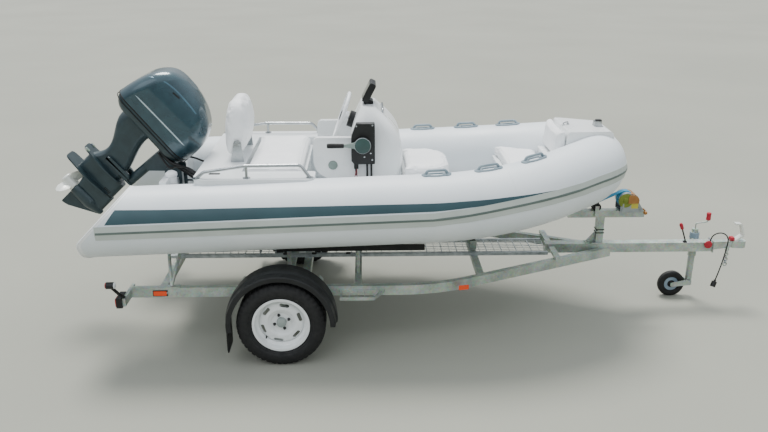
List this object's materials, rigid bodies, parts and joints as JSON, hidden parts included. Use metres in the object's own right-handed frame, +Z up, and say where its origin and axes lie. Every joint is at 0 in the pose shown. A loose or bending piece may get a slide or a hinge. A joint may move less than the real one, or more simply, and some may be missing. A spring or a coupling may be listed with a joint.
{
  "type": "inflatable boat on a road trailer",
  "caption": "Rigid inflatable boat with a console, lidded seats and a tilted outboard motor, standing on a galvanised road trailer with a jockey wheel.",
  "frame": {"origin": "on the ground under the middle of the whole length, on the keel line", "axes": "+X to the bow and the coupling, +Y to port, +Z up"},
  "size_m": [4.9753, 1.828, 1.7652],
  "materials": {
    "collar_fabric": "satin",
    "strake_rubber": "satin",
    "white_gelcoat": "gloss",
    "grey_gelcoat": "satin",
    "lid_board": "satin",
    "cushion": "satin",
    "stainless": "polished",
    "black_plastic": "matte",
    "console_fitting": "satin",
    "wheel_white": "satin",
    "motor_paint": "gloss",
    "motor_casting": "satin",
    "powerhead_metal": "rough",
    "prop_metal": "satin",
    "galvanised": "spangled",
    "tyre_rubber": "matte",
    "rim_paint": "satin",
    "guard_plastic": "satin",
    "pad_rubber": "matte",
    "winch_paint": "satin",
    "webbing": "matte",
    "black_steel": "satin",
    "lamp_plastic": "gloss",
    "cable_sheath": "satin"
  },
  "bodies": {
    "boat_on_trailer": {"collar": "collar_fabric", "rub_strake": "strake_rubber", "hull": "white_gelcoat", "deck": "grey_gelcoat", "transom": "grey_gelcoat", "stern_seat_box": "grey_gelcoat", "stainless_rails": "stainless", "console": "white_gelcoat", "console_fittings": "console_fitting", "control_box": "black_plastic", "display": "black_plastic", "front_seat_box": "white_gelcoat", "bow_locker": "grey_gelcoat", "hinge_fittings": "stainless", "bow_step": "white_gelcoat", "bow_backrest": "cushion", "bow_fittings": "stainless", "grab_handles": "black_plastic", "motor_clamp": "motor_casting", "side_beams": "galvanised", "drawbar": "galvanised", "cross_members": "galvanised", "walkway": "galvanised", "axle": "galvanised", "mudguards": "guard_plastic", "outriggers": "galvanised", "hull_pads": "pad_rubber", "winch_post": "galvanised", "winch": "winch_paint", "winch_strap": "webbing", "coupling": "galvanised", "coupling_handle": "black_steel", "safety_chain": "galvanised", "lamps": "lamp_plastic", "trailer_cable": "cable_sheath", "trailer_plug": "cable_sheath"},
    "wheel_starboard": {"tyre_starboard": "tyre_rubber", "rim_starboard": "rim_paint"},
    "wheel_port": {"tyre_port": "tyre_rubber", "rim_port": "rim_paint"},
    "aft_lid": {"aft_lid": "lid_board", "aft_cushion": "cushion"},
    "front_lid": {"front_lid": "lid_board", "front_cushion": "cushion"},
    "bow_lid": {"bow_lid": "lid_board", "bow_cushion": "cushion"},
    "backrest": {"backrest": "cushion"},
    "steering_wheel": {"steering_wheel": "wheel_white"},
    "motor_swivel": {"swivel_bracket": "motor_casting"},
    "motor": {"motor_cowl": "motor_paint", "motor_pan": "motor_paint", "powerhead": "powerhead_metal", "motor_leg": "motor_casting", "gearcase": "motor_casting"},
    "propeller": {"propeller": "prop_metal"},
    "jockey_leg": {"jockey_leg": "galvanised"},
    "jockey_fork": {"jockey_fork": "galvanised"},
    "jockey_wheel": {"jockey_wheel": "pad_rubber"}
  },
  "joints": [
    {"name": "wheel_starboard_spin", "type": "hinge", "parent": "boat_on_trailer", "child": "wheel_starboard", "pos_m": [-0.8663, -0.812, 0.285], "axis": [0, 1, 0], "continuous": true},
    {"name": "wheel_port_spin", "type": "hinge", "parent": "boat_on_trailer", "child": "wheel_port", "pos_m": [-0.8663, 0.812, 0.285], "axis": [0, 1, 0], "continuous": true},
    {"name": "motor_tilt", "type": "hinge", "parent": "boat_on_trailer", "child": "motor_swivel", "pos_m": [-1.6663, 0, 1.07], "axis": [0, 1, 0], "range_deg": [-51.2, 8]},
    {"name": "motor_steer", "type": "hinge", "parent": "motor_swivel", "child": "motor", "pos_m": [-1.74776, 0, 1.17131], "axis": [0.7793, 0, 0.6266], "range_deg": [-30, 30]},
    {"name": "propeller_spin", "type": "hinge", "parent": "motor", "child": "propeller", "pos_m": [-2.4051, 0, 0.98027], "axis": [0.6266, 0, -0.7793], "continuous": true},
    {"name": "helm_turn", "type": "hinge", "parent": "boat_on_trailer", "child": "steering_wheel", "pos_m": [-0.4813, 0, 1.44], "axis": [0.939, 0, -0.344], "range_deg": [-450, 450]},
    {"name": "backrest_fold", "type": "hinge", "parent": "boat_on_trailer", "child": "backrest", "pos_m": [-1.1763, 0, 1.3], "axis": [0, -1, 0], "range_deg": [-75, 0]},
    {"name": "aft_lid_hinge", "type": "hinge", "parent": "boat_on_trailer", "child": "aft_lid", "pos_m": [-0.7248, 0, 1.0995], "axis": [0, 1, 0], "range_deg": [0, 45]},
    {"name": "front_lid_hinge", "type": "hinge", "parent": "boat_on_trailer", "child": "front_lid", "pos_m": [0.2562, 0, 1.0405], "axis": [0, 1, 0], "range_deg": [0, 80]},
    {"name": "bow_lid_hinge", "type": "hinge", "parent": "boat_on_trailer", "child": "bow_lid", "pos_m": [0.6322, 0, 1.0445], "axis": [0, -1, 0], "range_deg": [0, 75]},
    {"name": "jockey_slide", "type": "slide", "parent": "boat_on_trailer", "child": "jockey_leg", "axis": [0, 0, 1], "range_m": [-0.05, 0.15]},
    {"name": "jockey_swivel", "type": "hinge", "parent": "jockey_leg", "child": "jockey_fork", "pos_m": [2.1437, 0.09, 0.12], "axis": [0, 0, 1], "continuous": true},
    {"name": "jockey_spin", "type": "hinge", "parent": "jockey_fork", "child": "jockey_wheel", "pos_m": [2.0117, 0.09, 0.1], "axis": [0, 1, 0], "continuous": true}
  ],
  "couplings": [
    {"joint": "helm_turn", "follows": "motor_steer", "ratio": 15}
  ]
}
